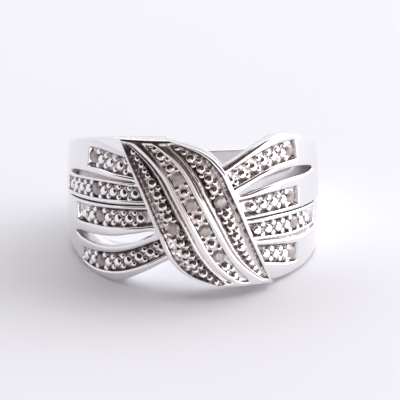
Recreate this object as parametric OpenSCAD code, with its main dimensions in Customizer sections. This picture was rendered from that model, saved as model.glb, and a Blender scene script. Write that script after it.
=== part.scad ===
// Knot ring of bright white metal, lying on its side.
// Four pierced strands on each side run under one broad wrap of three bands.
// Half a turn about the ring's front-to-back line brings it onto itself, so one
// half is described and the other half is its turned copy.
// Turns are measured round the finger from the middle of the front, in degrees,
// positive to the right. Heights are along the finger, from the middle of the band.

/* [Finger hole] */
// Diameter of the finger hole
bore_d = 17.2; // [16.8:0.1:17.6]

/* [Band] */
// Wall from the finger hole to the top of the middle strands
wall = 2.05; // [1.95:0.05:2.2]
// How much lower the outer edges of the strands are than the middle
dome_drop = 0.5; // [0.3:0.05:0.6]
// Wall of the plain shank at the back
back_wall = 1.7; // [1.5:0.05:1.8]
// Depth of the bead channels below their rails
channel_depth = 0.5; // [0.4:0.05:0.6]
// Depth of the narrow grooves between neighbouring strands
groove_depth = 0.6; // [0.3:0.05:0.8]

/* [Wrap] */
// Height of the wrap above the strands
wrap_rise = 0.65; // [0.5:0.05:0.8]
// Depth of the two outer bands of the wrap
side_band_depth = 0.55; // [0.4:0.05:0.6]
// Depth of the row of stones along the middle of the wrap
row_depth = 0.3; // [0.2:0.05:0.35]

/* [Stones and beads] */
// Diameter of each stone at its girdle
stone_d = 1.05; // [0.95:0.05:1.1]
// Clearance between a stone and its seat
seat_gap = 0.05; // [0.03:0.01:0.08]
// Diameter of the large beads
bead_d = 0.66; // [0.5:0.02:0.7]
// Diameter of the small beads beside them
grain_d = 0.40; // [0.3:0.02:0.46]

/* [Resting pose] */
// How far the front of the ring leans back when it lies on its side
lean = 13.85; // [12:0.05:15]
// How far its right side is raised
side_lift = 1.1; // [0:0.05:2]

/* [Hidden] */
$fn = 96;

bore_r = bore_d / 2;
band_r = bore_r + wall;
wrap_r = band_r + wrap_rise;
// Radius at which the strands are laid out, a little below the middle of the dome
layout_r = band_r - 0.2;
half_width = 6.12;
reach = 16;
// How far shapes run past a rim or a wall before they are trimmed to it
over = 1;
under_wall = 0.4;
metal_colour = "#e6e4e4";
stone_colour = "#a39b96";

// The side edges of the ring, seen from its left: distance in front of or behind
// the finger's axis, height of the upper edge, height of the lower edge.
SIDE = [
    [-12, 6.12, -6.12],
    [-9.2, 6.11, -6.11],
    [-7.6, 6.03, -6.01],
    [-6.6, 5.88, -5.82],
    [-5.4, 5.65, -5.46],
    [-4.2, 5.37, -4.93],
    [-2.6, 5.00, -4.35],
    [0, 4.50, -4.00],
    [3, 3.75, -3.40],
    [6, 2.85, -2.60],
    [8.5, 2.00, -1.90],
    [10, 1.55, -1.55],
    [12, 1.45, -1.45]];

// The lowest strand's outer edge from the left to where the wrap crosses it:
// turn, height.
NOTCH_STRAND = [
    [-46, -6.10], [-41, -5.98], [-35, -5.70], [-29, -5.30],
    [-23, -4.76], [-17, -4.16], [-12.2, -3.74]];

// Three guide lines of the wrap, from the upper rim to the lower rim: how far
// along, then turn and height on its left edge, then turn and height on its middle.
// The right edge is the left edge turned half round.
WRAP = [
    [-1.00, -33.3, 6.18, -22.3, 6.18],
    [-0.75, -29.6, 4.45, -13.2, 4.50],
    [-0.50, -25.8, 2.85, -7.8, 3.00],
    [-0.25, -22.4, 1.30, -3.9, 1.50],
    [0.00, -19.2, -0.30, 0.0, 0.00],
    [0.25, -15.7, -1.88, 3.9, -1.50],
    [0.50, -11.7, -3.55, 7.8, -3.00],
    [0.75, -3.5, -5.08, 13.2, -4.50],
    [1.00, 11.6, -6.10, 22.3, -6.18]];

// The strands' bead channels on the left, from the top strand down: turn at which
// the left channel ends, turn at which its right-hand twin ends, and below each
// a row per station with turn, height of the middle and half the width.
CHANNEL_ENDS = [[-55.5, -53], [-79, -68.5], [-66, -52.5], [-64, -53]];
CHANNELS = [
    [[-84, 4.00, 0.66], [-66, 4.10, 0.76], [-50, 4.10, 0.77],
     [-40, 3.86, 0.77], [-30, 3.60, 0.66], [-22, 3.30, 0.50]],
    [[-84, 1.26, 0.52], [-66, 1.46, 0.64], [-50, 1.56, 0.69],
     [-40, 1.58, 0.67], [-30, 1.58, 0.58], [-18, 1.55, 0.50]],
    [[-84, -0.60, 0.60], [-66, -0.66, 0.74], [-50, -0.64, 0.76],
     [-40, -0.58, 0.78], [-30, -0.46, 0.74], [-14, -0.20, 0.60]],
    [[-72, -4.00, 0.41], [-64, -4.23, 0.55], [-57, -4.40, 0.70], [-50, -4.43, 0.76],
     [-40, -4.29, 0.79], [-30, -3.82, 0.78], [-20, -3.06, 0.74], [-11, -2.30, 0.60]]];

// The open gap between the two lowest strands: turn, upper edge, lower edge.
GAP = [
    [-69, -2.42, -2.52], [-66, -2.32, -2.72], [-60, -2.26, -2.90], [-50, -2.26, -3.06],
    [-40, -2.12, -2.96], [-30, -1.78, -2.50], [-23, -1.48, -1.92], [-18.5, -1.42, -1.55]];

// Narrow grooves between the other strands: turn, middle height, half the width.
GROOVES = [
    [[-76, 2.42, 0.03], [-70, 2.50, 0.17], [-60, 2.60, 0.22],
     [-50, 2.62, 0.17], [-40, 2.54, 0.11], [-27, 2.46, 0.04]],
    [[-76, 0.42, 0.03], [-66, 0.44, 0.06], [-50, 0.48, 0.06], [-36, 0.54, 0.06], [-21, 0.70, 0.04]]];

// A smooth line through the rows of a table, with each gap cut in n parts.
function between(a, b, c, d, t) =
    0.5 * (2 * b + (c - a) * t + (2 * a - 5 * b + 4 * c - d) * t * t
        + (3 * b - a - 3 * c + d) * t * t * t);
function smooth(rows, n) = [
    for (i = [0 : len(rows) - 2], k = [0 : n - 1])
        between(rows[max(i - 1, 0)], rows[i], rows[i + 1], rows[min(i + 2, len(rows) - 1)], k / n),
    rows[len(rows) - 1]];
// The row of a table at a given first column, by straight steps.
function row_at(rows, x, i = 0) =
    i >= len(rows) - 2 || x <= rows[i + 1][0]
        ? rows[i] + (rows[i + 1] - rows[i]) * (x - rows[i][0]) / (rows[i + 1][0] - rows[i][0])
        : row_at(rows, x, i + 1);
function reversed(list) = [for (i = [len(list) - 1 : -1 : 0]) list[i]];
// Points [turn, height] seen along the direction that faces a given turn.
function seen(points, facing, r) = [for (p = points) [r * sin(p[0] - facing), p[1]]];
// The band's and the wrap's domed surfaces fall away by the same rule.
function dome(r, z) = r - dome_drop * pow(z / half_width, 2);
// A place on the wrap: s runs from -1 on the left edge to 1 on the right edge,
// t from -1 at the upper rim to 1 at the lower rim.
WRAP_FINE = smooth(WRAP, 4);
function left_edge(t) = let (row = row_at(WRAP_FINE, t)) [row[1], row[2]];
function middle(t) = let (row = row_at(WRAP_FINE, t)) [row[3], row[4]];
function on_wrap(s, t) =
    left_edge(t) * s * (s - 1) / 2 + middle(t) * (1 - s * s) - left_edge(-t) * s * (s + 1) / 2;
function wrap_line(s, n = 24) = [for (k = [0 : n]) on_wrap(s, 2 * k / n - 1)];

// The turn at which the wrap's left edge crosses a height.
function edge_turn(z) = row_at([for (row = WRAP_FINE) [-row[2], row[1]]], -z)[1];

// The turn of the stone in each channel, on the left and for its right-hand twin.
STRAND_STONES = [[-53.0, -50.4], [-50.8, -51.0], [-48.2, -48.4], [-50.0, -49.6]];
// How far along the wrap its stones sit
ROW_STONES = [-0.505, -0.147, 0.207, 0.565];
// How far along the row's beads, and its pairs of small beads, sit
ROW_BEADS = [-0.81, -0.66, -0.33, 0.022, 0.38, 0.70, 0.83];
ROW_PAIRS = [-0.75, -0.60, -0.42, -0.24, -0.065, 0.115, 0.29, 0.475, 0.765];
// Single small beads at the row's ends
ROW_SINGLES = [-0.945, -0.886, 0.895, 0.945];
// How much further along the left bead of such a pair lies than its middle
pair_skew = 0.015;
// Middle of a side band, and how far along its stone, its beads and its pairs sit
side_s = 0.62;
side_stone_t = 0.145;
SIDE_BEADS = [-0.472, -0.312, -0.165, -0.02, 0.317, 0.455, 0.595, 0.735];
SIDE_PAIRS = [-0.392, -0.24, -0.094, 0.05, 0.24, 0.385, 0.525, 0.665];
// Single small beads at the side band's narrow ends: across, along
SIDE_SINGLES = [
    [-0.77, -0.845], [-0.725, -0.775], [-0.695, -0.70], [-0.665, -0.632], [-0.645, -0.566],
    [-0.65, 0.81], [-0.68, 0.875]];
// Lengthwise cuts in the wrap's left half, from the upper rim to the lower rim: how far
// along, left and right side of the bead channel, left and right side of the line beside it.
line_depth = 0.2;
BAND_LINES = [
    [-0.955, -0.90, -0.84, -0.76, -0.72],
    [-0.90, -0.89, -0.70, -0.62, -0.58],
    [-0.84, -0.89, -0.60, -0.52, -0.48],
    [-0.78, -0.89, -0.53, -0.455, -0.415],
    [-0.70, -0.89, -0.475, -0.405, -0.365],
    [-0.60, -0.89, -0.44, -0.37, -0.33],
    [-0.40, -0.89, -0.42, -0.35, -0.305],
    [0.50, -0.89, -0.42, -0.35, -0.305],
    [0.70, -0.89, -0.44, -0.37, -0.31],
    [0.80, -0.89, -0.48, -0.41, -0.325],
    [0.88, -0.90, -0.56, -0.49, -0.335],
    [0.93, -0.905, -0.66, -0.58, -0.34],
    [0.965, -0.91, -0.80, -0.70, -0.35]];
// The middle row's channel, on both sides of the middle line, and its ends
row_s = 0.16;
row_t = 0.98;

function channel_at(i, turn) = let (row = row_at(smooth(CHANNELS[i], 4), turn)) [turn, row[1]];
function numbered(name, i) = str(name, i + 1);
// Stones: name, [turn, height], radius of the surface they are set in.
STONES = concat(
    [for (i = [0 : 3]) [numbered("centre_stone_", i), on_wrap(0, ROW_STONES[i]), wrap_r]],
    [["side_stone_left", on_wrap(-side_s, side_stone_t), wrap_r],
     ["side_stone_right", on_wrap(side_s, -side_stone_t), wrap_r]],
    [for (i = [0 : 3]) [numbered("left_stone_", i), channel_at(i, STRAND_STONES[i][0]), band_r]],
    [for (i = [0 : 3]) [numbered("right_stone_", i), -channel_at(3 - i, STRAND_STONES[3 - i][1]), band_r]]);

// Cut of a stone: share of its diameter for the culet, table, crown and pavilion.
culet_share = 0.04;
table_share = 0.56;
crown_share = 0.15;
pavilion_share = 0.42;
girdle = 0.04;
facets = 8;
// How far the table lies below the rails beside it
table_below = 0.03;

// Distance between neighbouring large beads, and from a stone to the next one
bead_pitch = 1.06;
stone_clear = 0.98;
// Millimetres to one degree of turn, on the strands
deg = PI * layout_r / 180;
// How far the pairs of small beads stand from the middle of a channel
grain_out = 0.42;
// The same for the side bands and the middle row of the wrap
side_grain_s = 0.09;
row_grain_s = 0.105;
// How far their tops lie below the rails, and their stems reach into the floor
grain_below = 0.12;
grain_root = 0.1;
// Bare floor at a channel's outer end, in degrees of turn
end_clear = 2.5;

// A prism of a [turn, height] outline, standing out from the finger's axis.
module prism(points, facing, r) {
    rotate([0, 0, facing])
        rotate([90, 0, 0])
            linear_extrude(reach)
                polygon(seen(points, facing, r));
}

// A ring-shaped solid under a domed surface, down to the inner radius.
module barrel(r, inner) {
    steps = 6;
    rotate_extrude()
        polygon(concat(
            [[inner, -half_width - over], [inner, half_width + over]],
            [for (k = [steps : -1 : -steps]) let (z = (half_width + over) * k / steps) [dome(r, z), z]]));
}

// Everything outside a domed surface.
module above(r) {
    difference() {
        cylinder(r = reach, h = 2 * half_width + over, center = true);
        barrel(r, over);
    }
}

module turned() {
    children();
    rotate([0, 180, 0])
        children();
}

// Puts its children on the surface at a turn and a height, facing outwards.
module out_at(turn, height, r) {
    rotate([0, 0, turn])
        translate([0, -r, height])
            rotate([90, 0, 0])
                children();
}

// All that lies between the ring's upper and lower edges.
module between_edges() {
    edges = smooth(SIDE, 3);
    outline = concat([for (p = edges) [p[0], p[1]]], [for (p = reversed(edges)) [p[0], p[2]]]);
    turned()
        translate([-reach, 0, 0])
            rotate([90, 0, 90])
                linear_extrude(reach)
                    polygon(outline);
}

// The ring's plain shape: a domed band, wide at the front and narrow at the back.
module shank() {
    // The outside of the back is round about a line a little behind the finger's axis
    thin_r = band_r + over;
    intersection() {
        barrel(band_r, bore_r - under_wall);
        between_edges();
        translate([0, bore_r + back_wall - thin_r, 0])
            cylinder(r = thin_r, h = 2 * reach, center = true);
    }
}

// Outline of a strip along a strand: rows of turn, middle height, half the width.
function strip(rows, from, to, n = 12) =
    let (fine = smooth(rows, 4), line = [for (k = [0 : n]) row_at(fine, from + (to - from) * k / n)])
    concat([for (p = line) [p[0], p[1] + p[2]]], [for (p = reversed(line)) [p[0], p[1] - p[2]]]);

facing_left = -45;

module channels(side) {
    intersection() {
        above(band_r - channel_depth);
        union()
            for (i = [0 : 3]) {
                rows = CHANNELS[i];
                prism(strip(rows, CHANNEL_ENDS[i][side], rows[len(rows) - 1][0]), facing_left, layout_r);
            }
    }
}

module grooves() {
    intersection() {
        above(band_r - groove_depth);
        union()
            for (rows = GROOVES)
                prism(strip(rows, rows[0][0], rows[len(rows) - 1][0], 10), facing_left, layout_r);
    }
}

// The pierced gap between the two lowest strands.
module gap() {
    line = smooth(GAP, 2);
    outline = concat([for (p = line) [p[0], p[1]]], [for (p = reversed(line)) [p[0], p[2]]]);
    prism(outline, facing_left, layout_r);
}

// What is cut away below the lowest strand and beside the wrap's lower left edge.
module notch() {
    // The strand's edge meets the wrap's edge here
    meets_t = 0.55;
    edge = [for (t = [meets_t : 0.05 : 1]) left_edge(t)];
    bottom = -half_width - 2 * over;
    rotate([90, 0, 0])
        linear_extrude(reach)
            polygon(concat(
                seen(smooth(NOTCH_STRAND, 3), 0, layout_r),
                seen(edge, 0, wrap_r),
                [[wrap_r * sin(left_edge(1)[0]), bottom], [-layout_r, bottom]]));
}

module wrap() {
    intersection() {
        barrel(wrap_r, bore_r - under_wall);
        between_edges();
        prism(concat(wrap_line(-1), reversed(wrap_line(1))), 0, wrap_r);
    }
}

// A cut in the wrap's surface, along rows of how far along, left side, right side.
module wrap_cut(rows, depth) {
    left = [for (row = rows) on_wrap(row[1], row[0])];
    right = [for (row = rows) on_wrap(row[2], row[0])];
    intersection() {
        above(wrap_r - depth);
        prism(concat(left, reversed(right)), 0, wrap_r);
    }
}

// How deep a stone's seat goes below the rails.
seat_depth = stone_d * (crown_share + pavilion_share) + girdle + table_below + seat_gap;

module seat(row) {
    out_at(row[1][0], row[1][1], dome(row[2], row[1][1]) - seat_depth)
        cylinder(d = stone_d + 2 * seat_gap, h = seat_depth + over);
}

// A round stone with a flat table, eight crown facets and eight pavilion facets.
module stone(row) {
    r = stone_d / 2;
    rings = [
        [culet_share * r, 0], [r, pavilion_share * stone_d], [r, pavilion_share * stone_d + girdle],
        [table_share * r, (pavilion_share + crown_share) * stone_d + girdle]];
    last = len(rings) - 1;
    color(stone_colour)
        out_at(row[1][0], row[1][1], dome(row[2], row[1][1]) - seat_depth + seat_gap)
            polyhedron(
                points = [for (ring = rings, k = [0 : facets - 1])
                    [ring[0] * cos(360 * k / facets), ring[0] * sin(360 * k / facets), ring[1]]],
                faces = concat(
                    [[for (k = [0 : facets - 1]) k], [for (k = [facets - 1 : -1 : 0]) last * facets + k]],
                    [for (i = [0 : last - 1], k = [0 : facets - 1])
                        let (a = i * facets, b = a + facets, next = (k + 1) % facets)
                        [a + k, b + k, b + next, a + next]]));
}

// A bead whose top lies just below the rails.
module bead(place, r) {
    out_at(place[0], place[1], dome(r, place[1]) - table_below - bead_d / 2)
        sphere(d = bead_d);
}

// A place moved straight away from a stone that a small bead there would touch.
function off_stones(place) =
    let (
        least = stone_d / 2 + grain_d / 2 + seat_gap,
        near = [for (row = STONES)
            let (d = [(place[0] - row[1][0]) * deg, place[1] - row[1][1]])
            if (norm(d) < least) row[1] + [d[0] / deg, d[1]] * least / norm(d)])
    len(near) > 0 ? near[0] : place;

// A small bead on its stem, rising from the floor of a channel.
module grain(wanted, r, depth) {
    place = off_stones(wanted);
    floor_r = dome(r, place[1]) - depth;
    out_at(place[0], place[1], floor_r - grain_root)
        cylinder(d = grain_d, h = depth + grain_root - grain_below);
}

// Turns of the beads in a channel: from its stone to the wrap, and to its outer end.
bead_step = bead_pitch / deg;
first_step = stone_clear / deg;
wrap_clear = 1;
function inner_turns(i, side) = [
    for (a = [STRAND_STONES[i][side] + first_step : bead_step : 0])
        if (a < edge_turn(channel_at(i, a)[1]) - wrap_clear) a];
function outer_turns(i, side) = [
    for (a = [STRAND_STONES[i][side] - first_step : -bead_step : CHANNEL_ENDS[i][side] + end_clear]) a];

// Beads and pairs of small beads along one channel: side 0 is the left one of the
// strand, and side 1 its right-hand twin.
module channel_beads(i, side) {
    way = side == 0 ? 1 : -1;
    inner = inner_turns(i, side);
    outer = outer_turns(i, side);
    for (a = concat(inner, outer))
        bead(way * channel_at(i, a), band_r);
    pairs = concat([for (a = inner) a - bead_step / 2], [for (a = outer) a + bead_step / 2]);
    for (a = pairs, up = [-1, 1])
        grain(way * (channel_at(i, a) + [0, up * grain_out]), band_r, channel_depth);
}

// Beads, pairs of small beads and single small beads along an outer band of the wrap,
// the left one where way is 1.
module wrap_beads(way) {
    for (t = SIDE_BEADS)
        bead(way * on_wrap(-side_s, t), wrap_r);
    for (t = SIDE_PAIRS, out = [-1, 1])
        grain(way * on_wrap(-side_s + out * side_grain_s, t - out * pair_skew), wrap_r, side_band_depth);
    for (place = SIDE_SINGLES)
        grain(way * on_wrap(place[0], place[1]), wrap_r, side_band_depth);
}

// Beads of the wrap's middle row, between its stones and past its ends.
module row_beads() {
    for (t = ROW_BEADS)
        bead(on_wrap(0, t), wrap_r);
    for (t = ROW_PAIRS, out = [-1, 1])
        grain(on_wrap(out * row_grain_s, t - out * pair_skew), wrap_r, row_depth);
    for (t = ROW_SINGLES)
        grain(on_wrap(0, t), wrap_r, row_depth);
}

// A point of the upright ring after the ring is laid on its side.
function laid(p) =
    let (y = p[1] * cos(lean) + p[2] * sin(lean), z = p[2] * cos(lean) - p[1] * sin(lean))
    [p[0] * cos(side_lift) - z * sin(side_lift), y, p[0] * sin(side_lift) + z * cos(side_lift)];
function rim_point(r, y, z, way) = [way * sqrt(max(r * r - y * y, 0)), y, z];
// Points on the side edges, on the back, at the sides and all over the wrap, laid
REACHED = concat(
    [for (row = smooth(SIDE, 3), r = [bore_r, band_r - dome_drop]) if (abs(row[0]) < r) each [
        laid(rim_point(r, row[0], row[1], -1)), laid(rim_point(r, row[0], row[2], -1)),
        laid(rim_point(r, row[0], -row[1], 1)), laid(rim_point(r, row[0], -row[2], 1))]],
    [for (z = [-1.5, 1.5]) laid([0, bore_r + back_wall, z])],
    [for (x = [-1, 1]) laid([x * band_r, 0, 0])],
    [for (t = [-1 : 0.05 : 1], s = [-1 : 0.1 : 1]) let (p = on_wrap(s, t), r = dome(wrap_r, p[1]))
        laid([r * sin(p[0]), -r * cos(p[0]), p[1]])]);
function lowest(axis) = min([for (p = REACHED) p[axis]]);
function highest(axis) = max([for (p = REACHED) p[axis]]);

// Lays the ring on its side, with the middle of its footprint at the origin.
module pose() {
    translate([-(lowest(0) + highest(0)) / 2, -(lowest(1) + highest(1)) / 2, -lowest(2)])
        rotate([-lean, -side_lift, 0])
            children();
}

module ring_body() {
    bands = smooth(BAND_LINES, 2);
    row_steps = 10;
    color(metal_colour) {
        difference() {
            union() {
                difference() {
                    shank();
                    channels(0);
                    grooves();
                    rotate([0, 180, 0]) {
                        channels(1);
                        grooves();
                    }
                }
                wrap();
            }
            turned() {
                notch();
                gap();
                wrap_cut([for (row = bands) [row[0], row[1], row[2]]], side_band_depth);
                wrap_cut([for (row = bands) [row[0], row[3], row[4]]], line_depth);
            }
            wrap_cut([for (k = [-row_steps : row_steps]) [row_t * k / row_steps, -row_s, row_s]], row_depth);
            for (row = STONES)
                seat(row);
            cylinder(r = bore_r, h = 3 * reach, center = true);
        }
        for (i = [0 : 3], side = [0, 1])
            channel_beads(i, side);
        for (way = [-1, 1])
            wrap_beads(way);
        row_beads();
    }
}

pose() ring_body();
for (row = STONES)
    pose() stone(row);
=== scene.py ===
import math

import bmesh
import bpy
import numpy as np
from mathutils import Matrix, Vector


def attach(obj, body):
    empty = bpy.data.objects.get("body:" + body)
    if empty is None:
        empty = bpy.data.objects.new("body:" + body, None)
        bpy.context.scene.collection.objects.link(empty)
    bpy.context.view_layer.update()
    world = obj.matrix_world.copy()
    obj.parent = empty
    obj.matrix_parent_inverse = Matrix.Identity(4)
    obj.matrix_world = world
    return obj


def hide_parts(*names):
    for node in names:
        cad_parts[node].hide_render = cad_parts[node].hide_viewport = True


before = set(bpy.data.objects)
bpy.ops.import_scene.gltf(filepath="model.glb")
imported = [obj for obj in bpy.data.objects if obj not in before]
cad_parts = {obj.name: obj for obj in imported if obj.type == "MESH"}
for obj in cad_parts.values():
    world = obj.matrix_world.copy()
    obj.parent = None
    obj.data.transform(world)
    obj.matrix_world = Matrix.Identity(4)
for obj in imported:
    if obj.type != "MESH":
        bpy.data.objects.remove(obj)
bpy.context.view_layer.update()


# The shank and the strands: one casting in sterling silver. Four strands on each side of
# the front grow out of the plain shank and run to the wrap. Their bead channels, the
# narrow grooves and the pierced gap were carved in the wax, and the rails polished.

# Sizes are of the upright ring, in millimetres: the finger's axis is z, the front faces -y.
BORE_R = 8.6          # the finger hole is 17.2 mm across
WALL = 2.05           # at the strands
BACK_WALL = 1.7
HALF_WIDTH = 6.12
DOME_DROP = 0.5       # fall of the outside from the middle of its width to its edges
WRAP_RISE = 0.65      # how far the wrap stands over the strands
CHANNEL_DEPTH = 0.5
GROOVE_DEPTH = 0.6
BAND_R = BORE_R + WALL
WRAP_R = BAND_R + WRAP_RISE
LAYOUT_R = BAND_R - 0.2      # the radius at which the tables below give turns
RAIL_ROUND = 0.20
RIM_ROUND = 0.22
INNER_ROUND = 0.15
ROUND_AT_45 = 0.29    # share of a rounding that is left at its middle
SKIN = 0.006          # keeps the smooth band inside the solid's box

# Side edges of the left half: distance behind the finger's axis, upper edge, lower edge
SIDE = [
    [-12, 6.12, -6.12], [-9.2, 6.11, -6.11], [-7.6, 6.03, -6.01], [-6.6, 5.88, -5.82],
    [-5.4, 5.65, -5.46], [-4.2, 5.37, -4.93], [-2.6, 5.00, -4.35], [0, 4.50, -4.00], [3, 3.75, -3.40],
    [6, 2.85, -2.60], [8.5, 2.00, -1.90], [10, 1.55, -1.55], [12, 1.45, -1.45]]
# The lowest strand's outer edge beside the wrap: turn, height
NOTCH_STRAND = [
    [-46, -6.10], [-41, -5.98], [-35, -5.70], [-29, -5.30], [-23, -4.76], [-17, -4.16],
    [-12.2, -3.74]]
# Wrap: how far along, then turn and height on its left edge, and on its middle
WRAP = [
    [-1.00, -33.3, 6.18, -22.3, 6.18], [-0.75, -29.6, 4.45, -13.2, 4.50],
    [-0.50, -25.8, 2.85, -7.8, 3.00], [-0.25, -22.4, 1.30, -3.9, 1.50],
    [0.00, -19.2, -0.30, 0.0, 0.00], [0.25, -15.7, -1.88, 3.9, -1.50],
    [0.50, -11.7, -3.55, 7.8, -3.00], [0.75, -3.5, -5.08, 13.2, -4.50],
    [1.00, 11.6, -6.10, 22.3, -6.18]]
# Channels from the top strand down: turn, middle height, half the width
CHANNELS = [
    [[-84, 4.00, 0.66], [-66, 4.10, 0.76], [-50, 4.10, 0.77], [-40, 3.86, 0.77],
     [-30, 3.60, 0.66], [-22, 3.30, 0.50]],
    [[-84, 1.26, 0.52], [-66, 1.46, 0.64], [-50, 1.56, 0.69], [-40, 1.58, 0.67],
     [-30, 1.58, 0.58], [-18, 1.55, 0.50]],
    [[-84, -0.60, 0.60], [-66, -0.66, 0.74], [-50, -0.64, 0.76], [-40, -0.58, 0.78],
     [-30, -0.46, 0.74], [-14, -0.20, 0.60]],
    [[-72, -4.00, 0.41], [-64, -4.23, 0.55], [-57, -4.40, 0.70], [-50, -4.43, 0.76],
     [-40, -4.29, 0.79], [-30, -3.82, 0.78], [-20, -3.06, 0.74], [-11, -2.30, 0.60]]]
# Turns at which the channels end: left strand, and its right-hand twin
CHANNEL_ENDS = [[-55.5, -53.0], [-79.0, -68.5], [-66.0, -52.5], [-64.0, -53.0]]
# The open gap between the two lowest strands: turn, upper edge, lower edge
GAP = [
    [-70, -2.47, -2.47], [-69, -2.42, -2.52], [-66, -2.32, -2.72], [-60, -2.26, -2.90],
    [-50, -2.26, -3.06], [-40, -2.12, -2.96], [-30, -1.78, -2.50], [-23, -1.48, -1.92],
    [-18.5, -1.42, -1.55], [-17.8, -1.485, -1.485]]
GAP_FROM, GAP_TO = GAP[0][0], GAP[-1][0]
# Narrow grooves between the other strands: turn, middle height, half the width
GROOVES = [
    [[-76, 2.42, 0.03], [-70, 2.50, 0.17], [-60, 2.60, 0.22], [-50, 2.62, 0.17],
     [-40, 2.54, 0.11], [-27, 2.46, 0.04]],
    [[-76, 0.42, 0.03], [-66, 0.44, 0.06], [-50, 0.48, 0.06], [-36, 0.54, 0.06],
     [-21, 0.70, 0.04]]]

# The ring lies on its side: how far its front leans back and its right side is raised,
# and where the middle of the finger hole then lies, in millimetres.
LEAN, LIFT = math.radians(13.85), math.radians(1.1)
HOLE_MIDDLE = (0.0, 0.76577, 4.21822)


def laid(x, y, z):
    """Points of the upright ring in millimetres, in metres where the ring lies."""
    y, z = y * math.cos(LEAN) + z * math.sin(LEAN), z * math.cos(LEAN) - y * math.sin(LEAN)
    x, z = x * math.cos(LIFT) - z * math.sin(LIFT), x * math.sin(LIFT) + z * math.cos(LIFT)
    return (np.stack(np.broadcast_arrays(x, y, z), -1) + HOLE_MIDDLE) / 1000


def smooth(rows, parts=6):
    """The smooth line through a table's rows, with the way between two rows cut in parts."""
    p = np.array(rows, float)
    p = np.vstack([p[:1], p, p[-1:]])
    out = []
    for a, b, c, d in zip(p, p[1:], p[2:], p[3:]):
        for t in np.arange(parts) / parts:
            out.append(0.5 * (2 * b + (c - a) * t + (2 * a - 5 * b + 4 * c - d) * t ** 2
                              + (3 * b - a - 3 * c + d) * t ** 3))
    return np.array(out + [p[-1]])


def read(rows, column, at):
    """A column of a table at values of its first column."""
    return np.interp(at, rows[:, 0], rows[:, column])


SIDE_LINE, NOTCH_LINE, WRAP_LINE, GAP_LINE = (smooth(t) for t in (SIDE, NOTCH_STRAND, WRAP, GAP))
CHANNEL_LINES = [smooth(t) for t in CHANNELS]
GROOVE_LINES = [smooth(t) for t in GROOVES]
EDGE = WRAP_LINE[::-1][:, [2, 1]]      # the wrap's left edge: height, turn


def step(x):
    """A soft step, from 0 at 0 to 1 at 1."""
    x = np.clip(x, 0, 1)
    return x * x * (3 - 2 * x)


# The strands are laid out as seen half-left from the front, so their turn changes with the
# radius. Behind SPREAD_FROM the rows spread over the plain shank, and behind SPREAD_TO a
# turn is the same at every radius.
FACING = -45.0
SPREAD_FROM, SPREAD_TO, BACK = -84.0, -150.0, -180.0


def real_turn(u, r):
    """The turn round the finger, in degrees, of a layout turn at a radius."""
    front = np.maximum(u, SPREAD_FROM)
    sideways = LAYOUT_R / r * np.sin(np.radians(front - FACING))
    a = np.degrees(np.arcsin(np.clip(sideways, -1, 1))) + FACING
    share = np.where(u < SPREAD_FROM, step((u - SPREAD_TO) / (SPREAD_FROM - SPREAD_TO)), 1)
    return u + (a - front) * share


def layout_turn(a, r):
    """The layout turn of a turn on the front, at a radius."""
    sideways = r / LAYOUT_R * np.sin(np.radians(a - FACING))
    return np.degrees(np.arcsin(np.clip(sideways, -1, 1))) + FACING


# The thin back is a larger circle set forward, and runs softly into the strands' dome
THIN_R = BAND_R + 1
THIN_OFF = THIN_R - BORE_R - BACK_WALL
THIN_BLEND = 0.12


def band_surface(a, z):
    """Radius of the strands' domed surface at a turn and height."""
    dome = BAND_R - SKIN - DOME_DROP * (z / HALF_WIDTH) ** 2
    cos, sin = np.cos(np.radians(a)), np.sin(np.radians(a))
    back = THIN_OFF * cos + np.sqrt(THIN_R ** 2 - (THIN_OFF * sin) ** 2)
    h = np.clip(0.5 + 0.5 * (back - dome) / THIN_BLEND, 0, 1)
    return back * (1 - h) + dome * h - THIN_BLEND * h * (1 - h)


EVEN_FROM, EVEN_OVER = 150, 25      # turns over which the two edges become each other's mirror
FAR_BELOW = -9


def rims(a, r):
    """The side edges at a turn and radius. They are even at the back, where the halves meet."""
    y = -r * np.cos(np.radians(a))
    high, low = read(SIDE_LINE, 1, y), read(SIDE_LINE, 2, y)
    even = (high - low) / 2
    share = step((np.abs(a) - EVEN_FROM) / EVEN_OVER)
    return high + (even - high) * share, low - (even + low) * share


def upper_rim(a, r):
    return rims(a, r)[0]


def lower_rim(a, r):
    """The lower side edge, which follows the lowest strand up to the wrap."""
    x = np.clip(r * np.sin(np.radians(a)) / LAYOUT_R, -1, 1)
    notch = np.where(x > math.sin(math.radians(NOTCH_STRAND[0][0])),
                     read(NOTCH_LINE, 1, np.degrees(np.arcsin(x))), FAR_BELOW)
    return np.maximum(rims(a, r)[1], np.where(np.cos(np.radians(a)) > 0, notch, FAR_BELOW))


RIM_OUT = BAND_R - 0.35      # the radius at which the outermost rails find the side edges
# Degrees before its end from which a channel opens, and over which the valleys open
CHANNEL_LEAD, CHANNEL_OVER, GROOVE_OVER, GAP_OVER = 1.3, 2.2, 3, 2.5
LOW_ABOVE, LOW_BELOW = 0.5, 0.25      # the lowest channel's lines stay this far inside the edge
NARROW_SHARE = 0.42                   # of a narrow rail's width, the most that is rounded
ROUND_FULL_OVER = 20                  # degrees over which the rims' rounding is full at the back
FLANK_REFLECTION, FLANK_REFLECTION_OVER, FLANK_REFLECTION_LEFT, FLANK_REFLECTION_RIGHT = 2.5, 7, -27, -31      # flanks beside the wrap, painted dark: a painted reflection of the wrap's dark side
FADED, FADE_OVER = 0.35, 26           # tone at a channel's outer end, and degrees to full tone
FULL_TONE_AT = 0.3                    # depth of a valley where its tone, and the painted shade, is full
WALL_TONE = -0.8                      # the gap's walls are satin, as the bore is
TIGHT_FROM, TIGHT_OVER, TIGHT_ABOVE = -37, 7, 0.3      # where the gap is narrow, and its walls are painted dark as shade
UNDER_WRAP, UNDER_BY = 3.5, 0.03      # the strands run on under the wrap, and slope inwards
UNDER_FIRST, PAST_GAP = 0.4, 0.3      # degrees to their first points under it, and past the gap
LAST_SHARED = -40.0                   # layout turn up to which all rows share their columns
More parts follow.
